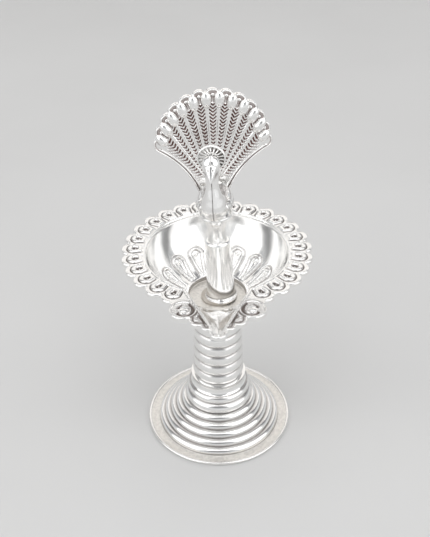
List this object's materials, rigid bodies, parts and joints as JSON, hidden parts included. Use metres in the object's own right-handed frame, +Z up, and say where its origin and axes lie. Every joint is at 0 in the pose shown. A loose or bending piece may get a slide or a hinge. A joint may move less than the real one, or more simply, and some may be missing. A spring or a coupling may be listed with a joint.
{
  "type": "standing oil lamp",
  "caption": "Standing oil lamp with a beaded foot and stem, a scalloped bowl with a wick spout, and a peacock on a central post. The bowl and the post unscrew.",
  "frame": {"origin": "centre of the foot, on the surface the lamp stands on", "axes": "+Z up along the stem, -Y towards the spout, +X to the right as seen from the spout"},
  "size_m": [0.0754, 0.0911, 0.1538],
  "materials": {
    "polished_silver": "polished silver, mirror bright",
    "brass": "turned, hidden in the foot",
    "leather": "cut washer, hidden in the joint"
  },
  "bodies": {
    "stand": {"foot_shell": "polished_silver", "base_washer": "brass", "base_nut": "brass", "neck_collar": "polished_silver", "stem_tube": "polished_silver", "stem_bush": "polished_silver"},
    "bowl_seal": {"bowl_washer": "leather"},
    "bowl": {"bowl_boss": "polished_silver", "bowl_shell": "polished_silver", "rim_border": "polished_silver", "spout_lip": "polished_silver"},
    "finial_seal": {"post_washer": "leather"},
    "finial": {"finial_stud": "polished_silver", "perch_post": "polished_silver", "belly_calyx": "polished_silver", "bird_left": "polished_silver", "bird_right": "polished_silver", "beak": "polished_silver", "crest": "polished_silver", "wing_left": "polished_silver", "wing_right": "polished_silver", "tail_saddle": "polished_silver", "tail_fan": "polished_silver"}
  },
  "joints": [
    {"name": "bowl_lift", "type": "slide", "parent": "stand", "child": "bowl_seal", "axis": [0, 0, 1], "range_m": [0, 0.006]},
    {"name": "bowl_turn", "type": "hinge", "parent": "bowl_seal", "child": "bowl", "pos_m": [0, 0, 0.0634], "axis": [0, 0, 1], "range_deg": [0, 1440]},
    {"name": "finial_lift", "type": "slide", "parent": "bowl", "child": "finial_seal", "axis": [0, 0, 1], "range_m": [0, 0.004]},
    {"name": "finial_turn", "type": "hinge", "parent": "finial_seal", "child": "finial", "pos_m": [0, 0, 0.0674], "axis": [0, 0, 1], "range_deg": [0, 1800]}
  ],
  "couplings": [
    {"joint": "bowl_lift", "follows": "bowl_turn", "m_per_rad": 0.00023873},
    {"joint": "finial_lift", "follows": "finial_turn", "m_per_rad": 0.00012732}
  ]
}
